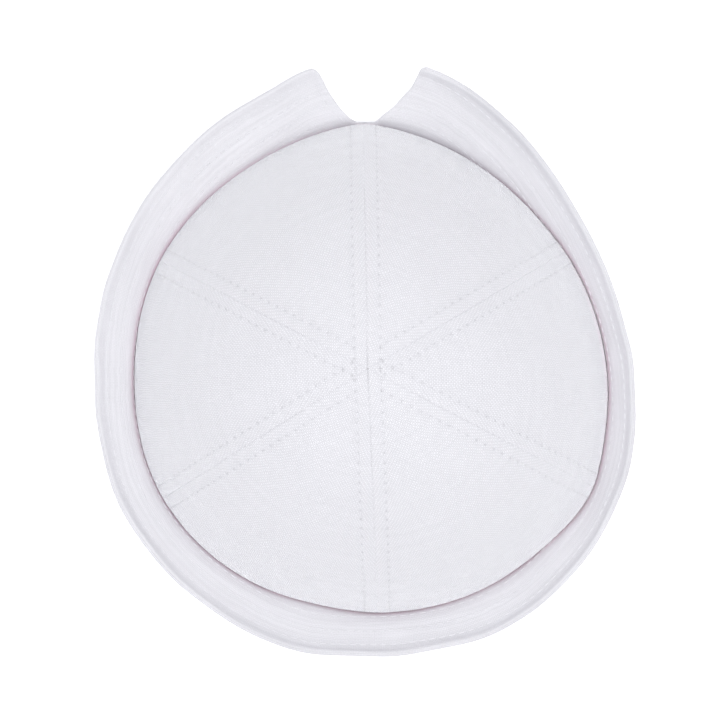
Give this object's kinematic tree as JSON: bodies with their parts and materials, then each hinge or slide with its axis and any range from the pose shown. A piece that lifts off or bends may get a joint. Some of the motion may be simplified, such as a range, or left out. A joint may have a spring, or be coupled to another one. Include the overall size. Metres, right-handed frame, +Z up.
{
  "type": "sailor hat",
  "caption": "Soft white cotton sailor hat: a round crown sewn from wedge panels inside a stitched brim that is turned up all round and opens in a V at the back.",
  "frame": {"origin": "centre of the hat's outline from above, on the surface that the base fold rests on", "axes": "+Z up through the top of the crown, +Y to the back, where the brim opens in a V, and +X to the right as seen from above with the back at the top"},
  "size_m": [0.211, 0.2311, 0.1155],
  "materials": {
    "crown_cloth": "matte white cotton canvas in a plain weave, with double rows of white stitching along the seams",
    "brim_cloth": "matte white cotton in several plies, with rows of white stitching along the brim"
  },
  "bodies": {
    "root": {"crown_panel_back_right": "crown_cloth", "crown_panel_back_left": "crown_cloth", "crown_panel_left": "crown_cloth", "crown_panel_front_left": "crown_cloth", "crown_panel_front_right": "crown_cloth", "crown_panel_right": "crown_cloth", "brim": "brim_cloth"}
  },
  "joints": []
}
